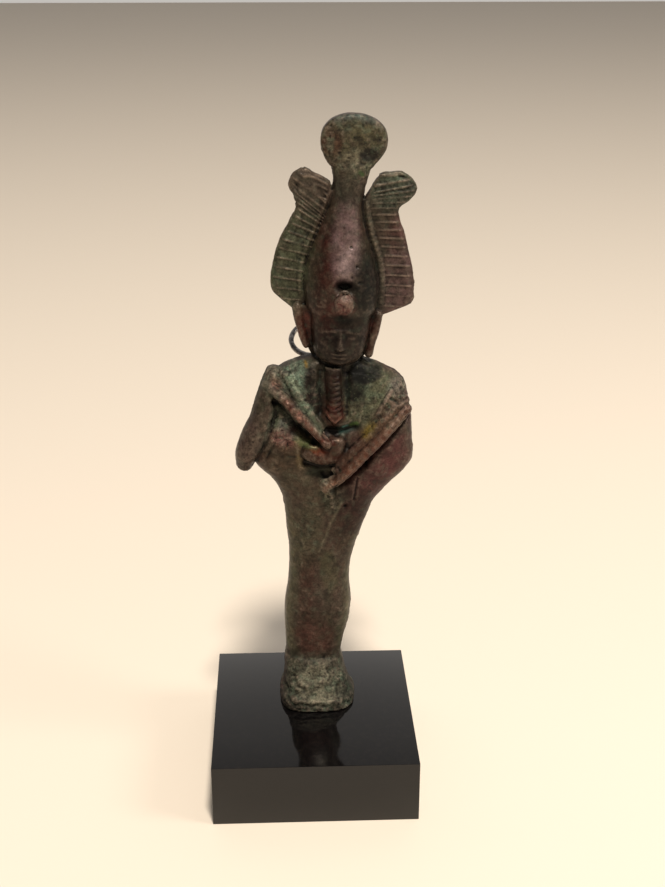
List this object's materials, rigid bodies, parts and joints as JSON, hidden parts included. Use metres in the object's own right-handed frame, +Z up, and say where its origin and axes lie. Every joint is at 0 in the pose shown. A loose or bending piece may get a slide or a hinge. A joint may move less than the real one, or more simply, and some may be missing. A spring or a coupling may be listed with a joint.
{
  "type": "osiris statuette",
  "caption": "Cast bronze standing mummiform Osiris with plumed crown, crook and flail, a ring in the loop behind its neck, fixed upright on a black display block.",
  "frame": {"origin": "middle of the display block's underside", "axes": "+Z up, -Y is the figure's front, +X is the figure's left side, on the viewer's right"},
  "size_m": [0.05, 0.053, 0.164],
  "materials": {
    "patinated_bronze": "aged brown and green patina, satin where rubbed, rough in the hollows",
    "dark_wire": "dull dark wire with bright rubbed spots",
    "black_acrylic": "polished black top, satin sides"
  },
  "bodies": {
    "root": {"bronze_figure": "patinated_bronze", "suspension_ring": "dark_wire", "display_block": "black_acrylic"}
  },
  "joints": []
}
